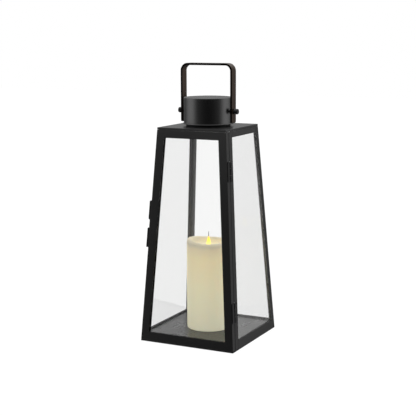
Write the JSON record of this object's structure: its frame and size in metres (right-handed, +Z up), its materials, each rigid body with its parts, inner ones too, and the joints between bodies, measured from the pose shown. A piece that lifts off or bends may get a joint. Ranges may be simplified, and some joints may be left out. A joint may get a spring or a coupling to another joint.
{
  "type": "hurricane candle lantern",
  "caption": "Tapered metal and glass hurricane lantern with a hinged glass door, vented round cap, swinging strap handle and a battery pillar candle inside.",
  "frame": {"origin": "middle of the square base, on the surface the lantern stands on", "axes": "+Z up; the door is the -Y face, hinged on the +X side; the handle's pivots lie along X"},
  "size_m": [0.176, 0.176, 0.474],
  "materials": {
    "black_paint": "satin black powder coat",
    "black_steel": "semi-gloss black",
    "bright_steel": "bright zinc plate",
    "bronze": "dark bronze satin coat",
    "clear_glass": "clear float glass",
    "ivory_wax": "ivory wax, softly translucent",
    "flame_lens": "translucent yellow lens, lit from inside",
    "wick_cord": "charred cord",
    "white_plastic": "white moulded plastic",
    "black_plastic": "black moulded plastic",
    "battery_wrap": "printed film, plain blue"
  },
  "bodies": {
    "lantern_body": {"floor_pan": "black_paint", "front_sill": "black_paint", "bottom_rail_left": "black_paint", "bottom_rail_right": "black_paint", "bottom_rail_back": "black_paint", "post_front_left": "black_paint", "post_front_right": "black_paint", "post_back_left": "black_paint", "post_back_right": "black_paint", "top_rail_left": "black_paint", "top_rail_right": "black_paint", "top_rail_back": "black_paint", "front_header": "black_paint", "roof_plate": "black_paint", "vent_neck": "black_paint", "cap_shell": "black_paint", "glass_left": "clear_glass", "glass_right": "clear_glass", "glass_back": "clear_glass", "cap_bridge": "black_steel", "pivot_stud_left": "black_steel", "pivot_stud_right": "black_steel", "pivot_nut_left": "black_steel", "pivot_nut_right": "black_steel", "pivot_spacer_left": "black_steel", "pivot_spacer_right": "black_steel", "pivot_knob_left": "black_steel", "pivot_knob_right": "black_steel", "hinge_leaf_body_upper": "black_steel", "hinge_leaf_body_lower": "black_steel", "latch_keeper": "black_steel", "hinge_pin_upper": "bright_steel", "hinge_pin_lower": "bright_steel"},
    "door": {"door_frame": "black_paint", "door_glass": "clear_glass", "door_glass_strip_left": "black_steel", "door_glass_strip_right": "black_steel", "hinge_leaf_door_upper": "black_steel", "hinge_leaf_door_lower": "black_steel", "latch_guide": "black_steel"},
    "latch": {"latch_bolt": "black_steel"},
    "handle": {"handle_strap": "bronze"},
    "candle": {"candle_wax": "ivory_wax", "flame_lens": "flame_lens", "candle_wick": "wick_cord", "battery_case": "white_plastic", "case_cap": "white_plastic", "case_screw_1": "bright_steel", "case_screw_2": "bright_steel", "case_screw_3": "bright_steel", "battery_left": "battery_wrap", "battery_right": "battery_wrap", "contact_plate": "bright_steel", "lamp_board": "black_plastic", "led_lamp": "white_plastic"},
    "battery_door": {"battery_cover": "black_plastic", "battery_spring_left": "bright_steel", "battery_spring_right": "bright_steel"},
    "switch": {"switch_slider": "black_plastic"}
  },
  "joints": [
    {"name": "door_hinge", "type": "hinge", "parent": "lantern_body", "child": "door", "pos_m": [0.0885, -0.0774, 0.00003], "axis": [-0.0649, 0.0649, 0.9958], "range_deg": [0, 110]},
    {"name": "latch_slide", "type": "slide", "parent": "door", "child": "latch", "axis": [0.0649, 0.0649, 0.9958], "range_m": [-0.012, 0]},
    {"name": "handle_swing", "type": "hinge", "parent": "lantern_body", "child": "handle", "pos_m": [0, 0, 0.3934], "axis": [1, 0, 0], "range_deg": [-100, 100]},
    {"name": "candle_lift", "type": "slide", "parent": "lantern_body", "child": "candle", "axis": [0, 0, 1], "range_m": [0, 0.04]},
    {"name": "battery_cover_twist", "type": "hinge", "parent": "candle", "child": "battery_door", "pos_m": [0, 0, 0.0153], "axis": [0, 0, 1], "range_deg": [0, 45]},
    {"name": "switch_slide", "type": "slide", "parent": "candle", "child": "switch", "axis": [1, 0, 0], "range_m": [0, 0.003]}
  ]
}
